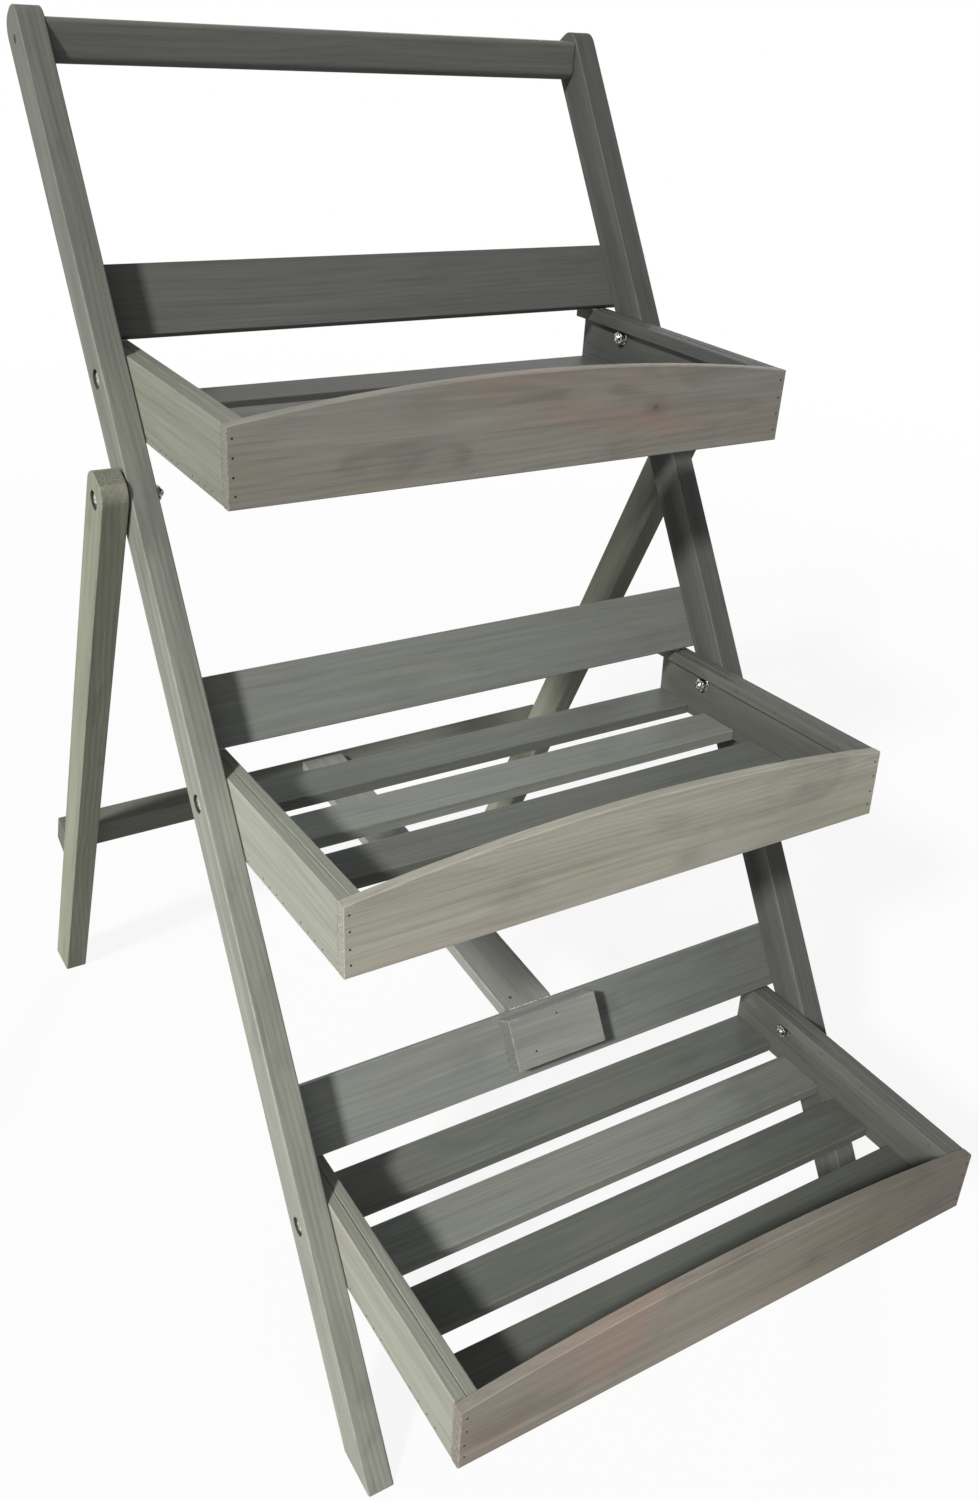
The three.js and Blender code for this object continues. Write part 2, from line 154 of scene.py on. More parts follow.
class Graph:
    """The shader graph of a material or of the world."""

    def __init__(self, owner: bpy.types.Material | bpy.types.World) -> None:
        """Empties the graph of its owner.

        Args:
            owner: The material or world.
        """
        owner.use_nodes = True
        self.owner = owner
        self.tree = owner.node_tree
        self.tree.nodes.clear()

    @classmethod
    def of_material(cls, name: str) -> "Graph":
        """The empty graph of a new material."""
        return cls(bpy.data.materials.new(name))

    def node(self, kind: str, settings: dict[str, Any] | None = None,
             inputs: dict[int | str, Any] | None = None, output: int | str = 0) -> Value | None:
        """Adds a node.

        Args:
            kind: The node's type.
            settings: Its own settings, which are set first.
            inputs: The values or links of its sockets, by name or number.
            output: The socket that is handed back.

        Returns:
            The output, ready for arithmetic or for another node; None for a node without any.
        """
        made = self.tree.nodes.new(kind)
        for name, setting in (settings or {}).items():
            setattr(made, name, setting)
        for name, value in (inputs or {}).items():
            socket = made.inputs[name]
            if isinstance(value, Value):
                self.tree.links.new(value.socket, socket)
            elif isinstance(value, tuple) and socket.type == "RGBA":
                socket.default_value = (*value, 1)
            else:
                socket.default_value = value
        return Value(self, made.outputs[output]) if len(made.outputs) else None

    def mix(self, first: Value | Colour, second: Value | Colour, share: Value | float,
            blend: str = "MIX") -> Value:
        """Mixes two colours.

        Args:
            first: The colour at share 0.
            second: The colour at share 1.
            share: How much of the second there is.
            blend: How the second is laid over the first.

        Returns:
            The mixed colour.
        """
        settings = {"data_type": "RGBA", "blend_type": blend}
        return self.node("ShaderNodeMix", settings, {0: share, 6: first, 7: second}, 2)

    def cloud(self, vector: Value, scale: float, detail: float = 3, roughness: float = 0.5,
              distortion: float = 0) -> Value:
        """Noise over a vector.

        Args:
            vector: Where the noise is read.
            scale: Its features per unit of the vector.
            detail: Its octaves.
            roughness: How strong the finer octaves are.
            distortion: How far it is drawn out of place.

        Returns:
            The noise, about 0 to 1.
        """
        return self.node("ShaderNodeTexNoise", {}, {
            "Vector": vector, "Scale": scale, "Detail": detail,
            "Roughness": roughness, "Distortion": distortion})

    def finish(self, sockets: dict[str, Any], bump: Value, depth: float,
               strength: float) -> bpy.types.Material:
        """Adds the surface shader.

        Args:
            sockets: The values or links of its sockets.
            bump: The height of the relief.
            depth: How deep the relief is, in metres.
            strength: How much of it shows.

        Returns:
            The finished material.
        """
        relief = {"Height": bump, "Distance": depth, "Strength": strength}
        normal = self.node("ShaderNodeBump", {}, relief)
        surface = self.node("ShaderNodeBsdfPrincipled", {}, sockets | {"Normal": normal})
        self.node("ShaderNodeOutputMaterial", {}, {"Surface": surface})
        return self.owner


# Boards


class Grain(Enum):
    """The axes of a board in the order of its length, its width and its thickness."""

    ALONG_X = "xzy"
    ALONG_Y = "yzx"
    ALONG_Z = "zyx"
    FLAT_X = "xyz"


@dataclass(frozen=True)
class Board:
    """A board's own frame, read from its solid: its middle, its half sizes and its turns.

    The turns about X, Y and Z, in degrees and in that order, lay the board square. An arch is how
    high the ends of the upper edge stand above the lower edge, and how far the edge rises.
    """

    middle: Point
    half: Point
    turns: Point
    grain: Grain
    arch: tuple[float, float] | None = None

    @staticmethod
    def squaring(turns: Point) -> Matrix:
        """The rotation that lays a board square."""
        return Euler([math.radians(turn) for turn in turns], "XYZ").to_matrix()

    @classmethod
    def of(cls, node: str, tilt: float, grain: Grain, arch: tuple[float, float] | None = None,
           slope: float = 0, swing: float = 0) -> "Board":
        """Reads a board's frame from its solid.

        Args:
            node: The solid's name.
            tilt: The turn about X that lays the board square, in degrees.
            grain: Which of its axes the grain follows.
            arch: The height of its upper edge's ends, and how far the edge rises between them.
            slope: The turn about Y that comes next.
            swing: The turn about Z that comes last.

        Returns:
            The board.
        """
        turns = (tilt, slope, swing)
        turn = cls.squaring(turns)
        points = [turn @ vertex.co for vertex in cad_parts[node].data.vertices]
        low = [min(p[axis] for p in points) for axis in range(3)]
        high = [max(p[axis] for p in points) for axis in range(3)]
        middle = tuple((a + b) / 2 for a, b in zip(low, high))
        half = tuple((b - a) / 2 for a, b in zip(low, high))
        return cls(middle, half, turns, grain, arch)

    def place_of(self, node: str) -> tuple[float, float]:
        """Where another solid's middle lies on the board.

        Args:
            node: The other solid's name.

        Returns:
            The places along and across the board, from the board's own middle.
        """
        low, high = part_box(node)
        place = self.squaring(self.turns) @ ((low + high) / 2) - Vector(self.middle)
        return tuple(place["xyz".index(axis)] for axis in self.grain.value[:2])

    def half_along(self) -> Point:
        """The half length, half width and half thickness."""
        return tuple(self.half["xyz".index(axis)] for axis in self.grain.value)

    def at(self, x: float, y: float, z: float) -> Vector:
        """The point in the shelf's frame of a point in the board's own frame, from its middle."""
        return self.squaring(self.turns).transposed() @ (Vector(self.middle) + Vector((x, y, z)))

    def way(self, x: float, y: float, z: float) -> Vector:
        """The way in the shelf's frame of a way in the board's own frame."""
        return self.at(x, y, z) - self.at(0, 0, 0)


@dataclass(frozen=True)
class Knot:
    """A knot, placed along and across a board from its middle; its depth is how dark it is.

    The stretch makes it longer along the grain. Its heart and the smoky ring round it each start
    and are full at a share of its radius, and the grain bends round it within another share.
    """

    along: float
    across: float
    radius: float
    depth: float
    stretch: float = 0.45
    heart_shares: tuple[float, float] = (1.1, 0.3)
    ring_shares: tuple[float, float] = (4.5, 0.3)
    bend_share: float = 5


@dataclass(frozen=True)
class Noise:
    """Noise in the wood: its features per metre along and across the grain, and its make.

    The finer octaves are as strong as its roughness says, and distortion draws it out of place.
    """

    along: float
    across: float
    octaves: float = 3
    roughness: float = 0.5
    distortion: float = 0


@dataclass(frozen=True)
class Trunk:
    """The trunk that a board is sawn from.

    Its heart lies up to a way aside of the board's middle, at a distance in front or behind. The
    trunk tapers, and its rings have a pitch and a wobble. Along the grain a board's spot in a
    noise lies within the reach of the noise's origin, in the noise's own features.
    """

    reach: float = 9
    aside: float = 0.05
    distance: tuple[float, float] = (0.02, 0.06)
    taper: tuple[float, float] = (0.008, 0.02)
    ring_pitch: float = 0.0042
    ring_wobble: float = 0.02


class Timber:
    """One board as its material sees it: the place on the board, and the trunk it was sawn from.

    End grain shows under a sawn end, and painted shade lies within a counterbore's radius and below
    the face. Each pair says, in metres, where such a mark starts and where it is full.
    """

    trunk: Trunk = Trunk()
    sawn_depths: tuple[float, float] = (0.0012, 0.0007)
    bore_shade_radii: tuple[float, float] = (0.0112, 0.0098)
    bore_shade_depths: tuple[float, float] = (0.0003, 0.0008)

    def __init__(self, graph: Graph, board: Board, seed: str) -> None:
        """Finds the place on the board.

        Args:
            graph: The material's graph.
            board: The board's own frame.
            seed: What seeds where in the trunk the board was sawn.
        """
        self.graph = graph
        self.board = board
        self.chance = random.Random(seed)
        square = graph.node("ShaderNodeMapping", {}, {
            "Vector": graph.node("ShaderNodeTexCoord", {}, {}, "Object"),
            "Rotation": tuple(math.radians(turn) for turn in board.turns),
            "Location": tuple(-value for value in board.middle)})
        axes = {axis: graph.node("ShaderNodeSeparateXYZ", {}, {0: square}, axis.upper()) for axis in "xyz"}
        self.along, self.across, self.through = (axes[axis] for axis in board.grain.value)

    def noise(self, kind: Noise) -> Value:
        """Noise that is drawn out along the grain, at a seeded spot in the trunk.

        Args:
            kind: Its sizes and make.

        Returns:
            The noise, about 0 to 1.
        """
        start = self.chance.uniform(-self.trunk.reach, self.trunk.reach)
        spot = self.graph.node("ShaderNodeCombineXYZ", {}, {
            0: self.along * kind.along + start,
            1: self.across * kind.across + 2 * start,
            2: self.through * kind.across - start})
        return self.graph.cloud(spot, 1, kind.octaves, kind.roughness, kind.distortion)

    def rings(self, bend: Value, wobble: Value) -> Value:
        """The growth rings round the trunk's heart, which lies at a seeded place beside the board.

        Args:
            bend: How far the knots push the grain aside.
            wobble: Noise that keeps the rings from being true circles.

        Returns:
            0 between the rings and 1 on them.
        """
        trunk = self.trunk
        side_way = self.across - self.chance.uniform(-trunk.aside, trunk.aside) + bend
        distance = self.chance.uniform(*trunk.distance)
        deep_way = self.through - distance * self.chance.choice((-1, 1))
        radius = (side_way * side_way + deep_way * deep_way).root()
        taper = self.chance.uniform(*trunk.taper)
        turns = (radius + self.along * taper + wobble * trunk.ring_wobble) * (2 * math.pi / trunk.ring_pitch)
        return (turns.wave() * 0.5 + 0.5).rise(0.1, 1)

    def marks(self, knots: Sequence[Knot]) -> tuple[Value, Value, Value]:
        """The knots' marks.

        Args:
            knots: The knots.

        Returns:
            How strong the smoky ring round the knots is, how strong their hearts are, and how far
            the grain bends round them.
        """
        halo = core = bend = self.along * 0
        for knot in knots:
            far = self.along - knot.along
            wide = self.across - knot.across
            size = (far * far * knot.stretch + wide * wide).root()
            ring = size.rise(*(knot.radius * share for share in knot.ring_shares))
            heart = size.rise(*(knot.radius * share for share in knot.heart_shares))
            aside = wide.rise(-knot.radius, knot.radius) * knot.radius
            halo = halo.most(ring * knot.depth * 0.8)
            core = core.most(heart * max(0.0, knot.depth * 2 - 0.5))
            bend = bend + size.rise(knot.radius * knot.bend_share, 0) * aside
        return halo, core, bend

    def edges(self) -> tuple[Value, Value]:
        """How far a point is from the nearest arris, and whether it is on sawn end grain.

        Returns:
            The distance in metres, and 1 on the ends.
        """
        length, width, thickness = self.board.half_along()
        to_end = length - abs(self.along)
        to_side = width - abs(self.across)
        if self.board.arch:
            ends, rise = self.board.arch
            top = (1 - self.along * self.along * length ** -2) * rise + (ends - width)
            to_side = (top - self.across).least(self.across + width)
        to_face = thickness - abs(self.through)
        edge = to_end.least(to_side).most(to_end.most(to_side).least(to_face))
        return edge, to_end.rise(*self.sawn_depths)

    def shaded_bores(self, places: Iterable[tuple[float, float]]) -> Value:
        """Where shade is painted: whether a point is in a counterbore, below the board's face.

        Args:
            places: Where the bores are, along and across the board.

        Returns:
            1 in a bore.
        """
        inside = self.along * 0
        for far, wide in places:
            ahead, aside = self.along - far, self.across - wide
            size = (ahead * ahead + aside * aside).root()
            inside = inside.most(size.rise(*self.bore_shade_radii))
        depth = self.board.half_along()[2] - abs(self.through)
        return inside * depth.rise(*self.bore_shade_depths)


# Finishes


@dataclass(frozen=True)
class StainedWood:
    """Grey-stained softwood: fibre, growth rings, streaks, patches, knots, and lighter arrises that are
    partly rubbed and partly painted highlight.

    The rose and olive tints, the streaks, the lighter arrises and the smoky patches are given by how much of
    them shows. The end shade is painted shade: how much darker the board's right or upper end is
    painted, where less light falls on it. A tint is as written on a tone whose three values add up to
    the tint's light.
    """

    tone: Colour
    rose: float = 0.1
    olive: float = 0.15
    streak: float = 0.12
    wear_and_highlight: float = 0.3
    smoke: float = 0.3
    knots: tuple[Knot, ...] = ()
    # Painted shade: how much darker the board's right or upper end is painted.
    painted_end_shade: float = 0.0
    rose_tint: Colour = linear(172, 138, 124)
    olive_tint: Colour = linear(150, 152, 112)
    rose_light: float = 0.86
    olive_light: float = 0.9
    arris_width: float = 0.0009
    arris_ragged: float = 0.0011
    arris_full: float = -0.0002
    relief_depth: float = 0.0005
    fibre_noise: Noise = Noise(14, 620, 4, 0.62)
    streak_noise: Noise = Noise(2.6, 52, 5, 0.66, 0.4)
    brushed_noise: Noise = Noise(5, 230, 3, 0.6, 0.2)
    cloudy_noise: Noise = Noise(5.5, 11, 3, 0.5, 0.3)
    tinted_noise: Noise = Noise(4.2, 9, 2, 0.5, 0.6)
    smoky_noise: Noise = Noise(9, 24, 3, 0.55, 0.8)
    wobble_noise: Noise = Noise(3.2, 6, 2)
    sawn_noise: Noise = Noise(300, 520, 3, 0.6)
    ragged_noise: Noise = Noise(60, 160, 4, 0.65)

    def dress(self, node: str, board: Board, bolts: Sequence[str] = ()) -> str:
        """Builds the finish for one board and gives it to the board's solid.

        Args:
            node: The solid's name.
            board: The board's own frame.
            bolts: The bolts whose heads are sunk in the board.

        Returns:
            The solid's name.
        """
        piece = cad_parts[node]
        material = self.material(node, board, [board.place_of(bolt) for bolt in bolts])
        piece.data.materials.clear()
        piece.data.materials.append(material)
        return node

    def shade(self, share: float) -> Colour:
        """A share of the tone."""
        return scaled(self.tone, share)

    def material(self, name: str, board: Board, shaded_bores: Sequence[tuple[float, float]]) -> bpy.types.Material:
        """The finish on one board.

        Args:
            name: The board's name, which also seeds where it was sawn from the trunk.
            board: The board's own frame.
            shaded_bores: Where the sunk heads are, along and across the board.

        Returns:
            The material.
        """
        graph = Graph.of_material(name + "_stain")
        timber = Timber(graph, board, name)
        halo, core, bend = timber.marks(self.knots)
        fibre = timber.noise(self.fibre_noise)
        streak = timber.noise(self.streak_noise)
        brushed = timber.noise(self.brushed_noise)
        cloudy = timber.noise(self.cloudy_noise)
        tinted = timber.noise(self.tinted_noise)
        smoky = timber.noise(self.smoky_noise)
        rings = timber.rings(bend, timber.noise(self.wobble_noise))

        def coat(under: Value, shade: float, where: Value, cover: float) -> Value:
            """The colour with a shade of the tone laid over part of it."""
            return graph.mix(under, self.shade(shade), where * cover)

        light = sum(self.tone)
        patches = (streak * 0.75 + cloudy * 0.25).rise(0.28, 0.72)
        colour = graph.mix(self.shade(1 - self.streak), self.shade(1 + self.streak), patches)
        rose_stain = scaled(self.rose_tint, light / self.rose_light)
        olive_stain = scaled(self.olive_tint, light / self.olive_light)
        colour = graph.mix(colour, rose_stain, tinted.rise(0.52, 0.78) * self.rose)
        colour = graph.mix(colour, olive_stain, tinted.rise(0.48, 0.22) * self.olive)
        colour = coat(colour, shade=0.7, where=rings, cover=0.18)
        colour = coat(colour, shade=0.55, where=brushed.rise(0.52, 0.74), cover=0.4)
        colour = coat(colour, shade=1.4, where=brushed.rise(0.46, 0.26), cover=0.3)
        colour = coat(colour, shade=0.45, where=fibre.rise(0.56, 0.8), cover=0.45)
        colour = coat(colour, shade=1.4, where=fibre.rise(0.42, 0.22), cover=0.3)
        colour = coat(colour, shade=0.5, where=smoky.rise(0.52, 0.78), cover=self.smoke)
        colour = coat(colour, shade=0.42, where=halo, cover=1)
        red, green, blue = self.tone
        colour = graph.mix(colour, scaled((red * 1.15, green * 0.82, blue * 0.7), 0.26), core)

        edge, end = timber.edges()
        sawn = timber.noise(self.sawn_noise)
        sawn_tone = graph.mix(self.shade(0.38), self.shade(0.95), sawn.rise(0.3, 0.7))
        colour = graph.mix(colour, sawn_tone, end * 0.75)
        # The arrises are painted lighter: partly rubbed wood, partly painted highlight where light catches
        # the eased edges.
        ragged = timber.noise(self.ragged_noise).rise(0.35, 0.75) * self.arris_ragged
        worn_and_lit = (edge - ragged).rise(self.arris_width, self.arris_full)
        colour = coat(colour, shade=1.45, where=worn_and_lit, cover=self.wear_and_highlight)
        # Painted shade: the board's right or upper end is painted darker, where less light reaches the real
        # shelf.
        if self.painted_end_shade:
            length = board.half_along()[0]
            shade_ramp = (timber.along + (cloudy - 0.5) * 0.2).rise(-0.35 * length, 0.95 * length)
            colour = graph.mix(colour, scaled(WHITE, 1 - self.painted_end_shade), shade_ramp, "MULTIPLY")
        # Painted shade: the counterbores round the sunk heads are painted dark.
        if shaded_bores:
            colour = coat(colour, shade=0.12, where=timber.shaded_bores(shaded_bores), cover=0.9)

        relief = fibre * 0.45 + rings * 0.3 + streak * 0.5 + sawn * end * 0.8 - core * 0.6 - worn_and_lit * 0.5
        roughness = 0.74 + fibre * 0.16 - worn_and_lit * 0.06
        return graph.finish({"Base Color": colour, "Roughness": roughness, "Specular IOR Level": 0.32},
                            relief, self.relief_depth, 0.55)


@dataclass(frozen=True)
class Zinc:
    """Bright zinc plating with a faint brushed grain, dull spots, and dark patches that are partly dirt and
    partly painted shade.
    """

    tone: Colour = linear(240, 238, 226)
    dull_tone: Colour = linear(150, 140, 112)
    grime_and_shade_tone: Colour = linear(40, 39, 34)
    relief_depth: float = 0.0001

    def material(self, name: str) -> bpy.types.Material:
        """The finish.

        Args:
            name: The material's name.

        Returns:
            The material.
        """
        graph = Graph.of_material(name)
        place = graph.node("ShaderNodeTexCoord", {}, {}, "Object")
        dull = graph.cloud(place, 260, 4, 0.6)
        grime_and_shade = graph.cloud(place, 480, 2, 0.5)
        fine = graph.cloud(place, 2600, 2)
        colour = graph.mix(scaled(self.tone, 0.7), self.tone, dull.rise(0.35, 0.65))
        colour = graph.mix(colour, self.dull_tone, dull.rise(0.62, 0.8) * 0.4)
        # Dark patches: partly dirt, partly painted shade and painted dark reflection.
        colour = graph.mix(colour, self.grime_and_shade_tone, grime_and_shade.rise(0.51, 0.44) * 0.9)
        return graph.finish({"Base Color": colour, "Metallic": 1.0, "Roughness": 0.24 + dull * 0.22},
                            fine, self.relief_depth, 0.3)


@dataclass(frozen=True)
class SunkHead:
    """The dark head of a nail or screw, almost flush with the wood and stained over."""

    tone: Colour = linear(38, 37, 34)
    relief_depth: float = 0.0002

    def material(self, name: str) -> bpy.types.Material:
        """The finish.

        Args:
            name: The material's name.

        Returns:
            The material.
        """
        graph = Graph.of_material(name)
        place = graph.node("ShaderNodeTexCoord", {}, {}, "Object")
        spots = graph.cloud(place, 900, 3)
        colour = graph.mix(scaled(self.tone, 0.6), scaled(self.tone, 1.7), spots.rise(0.4, 0.75))
        return graph.finish({"Base Color": colour, "Metallic": 0.25, "Roughness": 0.5 + spots * 0.3},
                            spots, self.relief_depth, 0.6)


# Meshes


def turned(rings: Sequence[tuple[float, Sequence[float]]],
           closed_start: bool = True) -> tuple[list[Point], list[list[int]]]:
    """A body of rings about the X axis, closed at its end.

    Args:
        rings: Each ring's place on X and its radii, one for each step round.
        closed_start: Whether the first ring is closed with a face too.

    Returns:
        The points and the faces.
    """
    steps = len(rings[0][1])
    points, faces = [], []
    for place, radii in rings:
        for step, radius in enumerate(radii):
            angle = 2 * math.pi * step / steps
            points.append((place, radius * math.cos(angle), radius * math.sin(angle)))
    for ring in range(len(rings) - 1):
        for step in range(steps):
            after = (step + 1) % steps
            first, second = ring * steps, (ring + 1) * steps
            faces.append([first + step, first + after, second + after, second + step])
    if closed_start:
        faces.append(list(range(steps))[::-1])
    faces.append([(len(rings) - 1) * steps + step for step in range(steps)])
    return points, faces


class Shapes:
    """A growing set of points and faces for one piece."""

    def __init__(self) -> None:
        """Starts with nothing."""
        self.points: list[Vector] = []
        self.faces: list[list[int]] = []

    def add(self, points: Iterable[Sequence[float]], faces: Iterable[Sequence[int]], place: Matrix) -> None:
        """Adds some points and faces, set in place.

        Args:
            points: The points in their own frame.
            faces: The faces.
            place: Where they go.
        """
        start = len(self.points)
        self.points += [place @ Vector(p) for p in points]
        self.faces += [[start + number for number in face] for face in faces]

    def piece(self, name: str, material: bpy.types.Material, body: str,
              crease: float = 32) -> bpy.types.Object:
        """Makes a piece that rides on a body and has the given finish.

        Args:
            name: The piece's name.
            material: Its finish.
            body: The body that it rides on.
            crease: The angle in degrees above which an edge is shaded as a sharp one.

        Returns:
            The piece.
        """
        mesh = bpy.data.meshes.new(name)
        mesh.from_pydata([tuple(p) for p in self.points], [], [tuple(f) for f in self.faces])
        shape = bmesh.new()
        shape.from_mesh(mesh)
        bmesh.ops.recalc_face_normals(shape, faces=shape.faces)
        shape.to_mesh(mesh)
        shape.free()
        mesh.shade_smooth()
        mesh.set_sharp_from_angle(angle=math.radians(crease))
        mesh.materials.append(material)
        piece = bpy.data.objects.new(name, mesh)
        bpy.context.scene.collection.objects.link(piece)
        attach(piece, body)
        return piece


@dataclass(frozen=True)
class Hardware:
    """Hexagon bolts, nuts and washers, on the places of their solids.

    A hexagon's chamfer reaches down by a share of its corner's overhang, with a step on the way;
    the step's shares are how deep it lies and how far the corner is cut back there. Its round
    faces, at the seat, at the top and on the crown, are shares of the distance to the flats. A
    washer's edges are eased by a share of its thickness. The thread's spare length is what it has
    beyond the nut's height.
    """

    across_flats: float = 0.013
    bolt_radius: float = 0.004
    washer_radius: float = 0.008
    washer_thickness: float = 0.0016
    head_height: float = 0.0053
    nut_height: float = 0.0065
    crown: float = 0.00015
    chamfer_share: float = 0.9
    seat_step_shares: tuple[float, float] = (0.5, 0.35)
    top_step_shares: tuple[float, float] = (0.45, 0.4)
    seat_share: float = 0.96
    top_share: float = 0.93
    crown_share: float = 0.6
    ease_share: float = 0.25
    thread_pitch: float = 0.00125
    thread_depth: float = 0.0006
    thread_spare: float = 0.006
    tip_chamfer: float = 0.001
    rings_per_pitch: int = 6
    steps: int = 48

    def _round(self, radius: float) -> list[float]:
        """The same radius at each step round."""
        return [radius] * self.steps

    def _hexagon(self, inset: float = 0) -> list[float]:
        """The radii of a hexagon.

        Args:
            inset: How much its corners are cut back.

        Returns:
            The radius at each step round.
        """
        flat = self.across_flats / 2
        limit = flat / math.cos(math.pi / 6) - inset
        radii = []
        for step in range(self.steps):
            angle = (2 * math.pi * step / self.steps + math.pi / 6) % (math.pi / 3) - math.pi / 6
            radii.append(min(flat / math.cos(angle), limit))
        return radii

    def _block(self, start: float, end: float, shapes: Shapes, place: Matrix, is_nut: bool) -> None:
        """Adds a hexagon whose corners are chamfered at its top, and on a nut at its seat too.

        Args:
            start: Its seat on X.
            end: Its top on X.
            shapes: The shapes that it goes into.
            place: Where it goes.
            is_nut: Whether it is a nut.
        """
        way = 1 if end > start else -1
        flat = self.across_flats / 2
        corner = flat / math.cos(math.pi / 6) - flat
        seat = [(start, self._hexagon())]
        if is_nut:
            step, inset = self.seat_step_shares
            seat = [(start, self._round(flat * self.seat_share)),
                    (start + way * corner * step, self._hexagon(corner * inset))]
        step, inset = self.top_step_shares
        shapes.add(*turned(seat + [
            (start + way * corner * self.chamfer_share, self._hexagon()),
            (end - way * corner * self.chamfer_share, self._hexagon()),
            (end - way * corner * step, self._hexagon(corner * inset)),
            (end, self._round(flat * self.top_share)),
            (end + way * self.crown, self._round(flat * self.crown_share))]), place)

    def _washer(self, start: float, end: float, shapes: Shapes, place: Matrix) -> None:
        """Adds a washer with eased edges.

        Args:
            start: Its seat on X.
            end: Its other face on X.
            shapes: The shapes that it goes into.
            place: Where it goes.
        """
        ease = (end - start) * self.ease_share
        outer, inner = self.washer_radius, self.bolt_radius
        narrow = outer - abs(ease)
        profile = [(start, inner), (start, narrow), (start + ease, outer), (end - ease, outer),
                   (end, narrow), (end, inner)]
        shapes.add(*turned([(x, self._round(radius)) for x, radius in profile]), place)

    def _thread(self, start: float, end: float, shapes: Shapes, place: Matrix) -> None:
        """Adds a threaded length with a chamfered tip.

        Args:
            start: Where the thread starts on X.
            end: The tip on X.
            shapes: The shapes that it goes into.
            place: Where it goes.
        """
        way = 1 if end > start else -1
        length = abs(end - start)
        count = max(self.rings_per_pitch, int(length / self.thread_pitch * self.rings_per_pitch))
        rings = []
        for index in range(count + 1):
            far = length * index / count
            tip = max(0.0, far - (length - self.tip_chamfer))
            radii = []
            for step in range(self.steps):
                turn = (far / self.thread_pitch + step / self.steps) % 1
                radius = self.bolt_radius - self.thread_depth * abs(2 * turn - 1)
                radii.append(min(radius, self.bolt_radius - tip))
            rings.append((start + way * far, radii))
        shapes.add(*turned(rings), place)

    def _seat(self, node: str, side: int) -> tuple[float, float, Matrix]:
        """Reads where a bolt or nut goes from its solid.

        Args:
            node: The solid's name.
            side: -1 for the left of the shelf and 1 for the right.

        Returns:
            Its outer end on X, its inner end on X, and the frame on its axis, turned by chance.
        """
        low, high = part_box(node)
        middle = (low + high) / 2
        outer, inner = (high.x, low.x) if side > 0 else (low.x, high.x)
        turn = Matrix.Rotation(random.Random(node).uniform(0, 1), 4, "X")
        return outer, inner, Matrix.Translation((0, middle.y, middle.z)) @ turn

    def bolt(self, node: str, side: int, material: bpy.types.Material) -> str:
        """Makes a bolt with its washer in place of its solid.

        Args:
            node: The solid's name.
            side: -1 for the left of the shelf and 1 for the right.
            material: The finish.

        Returns:
            The piece's name.
        """
        outer, tip, place = self._seat(node, side)
        under = outer - side * self.head_height
        seat = outer - side * (self.head_height + self.washer_thickness)
        shapes = Shapes()
        self._washer(seat, under, shapes, place)
        self._block(under, outer, shapes, place, False)
        plain = self._round(self.bolt_radius)
        thread_from = tip + side * (self.nut_height + self.thread_spare)
        shapes.add(*turned([(seat, plain), (thread_from, plain)]), place)
        self._thread(thread_from, tip, shapes, place)
        piece = shapes.piece(node + "_turned", material, "front_frame")
        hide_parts(node)
        return piece.name

    def nut(self, node: str, side: int, material: bpy.types.Material) -> str:
        """Makes a nut with its washer in place of its solid.

        Args:
            node: The solid's name.
            side: -1 for the left of the shelf and 1 for the right.
            material: The finish.

        Returns:
            The piece's name.
        """
        seat, top, place = self._seat(node, side)
        under = seat - side * self.washer_thickness
        shapes = Shapes()
        self._washer(seat, under, shapes, place)
        self._block(under, top, shapes, place, True)
        piece = shapes.piece(node + "_turned", material, "front_frame")
        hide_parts(node)
        return piece.name


@dataclass(frozen=True)
class NailHead:
    """A small head that stands a little out of the wood: a rim and a hollow.

    Each pair of rim shares is a height, as a share of how proud the head stands, and a radius.
    """

    radius: float
    rooted: float = 0.0004
    proud: float = 0.00012
    steps: int = 12
    rim_shares: tuple[tuple[float, float], ...] = ((1, 1), (1.6, 0.8), (0.4, 0.45), (0.2, 0.1))

    def add(self, shapes: Shapes, centre: Vector, outward: Vector) -> None:
        """Adds one head.

        Args:
            shapes: The shapes that it goes into.
            centre: The point on the wood's face.
            outward: The way that the face looks.
        """
        profile = [(-self.rooted, self.radius)]
        profile += [(self.proud * height, self.radius * width) for height, width in self.rim_shares]
        place = outward.to_track_quat("X", "Z").to_matrix().to_4x4()
        place.translation = centre
        shapes.add(*turned([(x, [radius] * self.steps) for x, radius in profile], False), place)


# Sub-assemblies


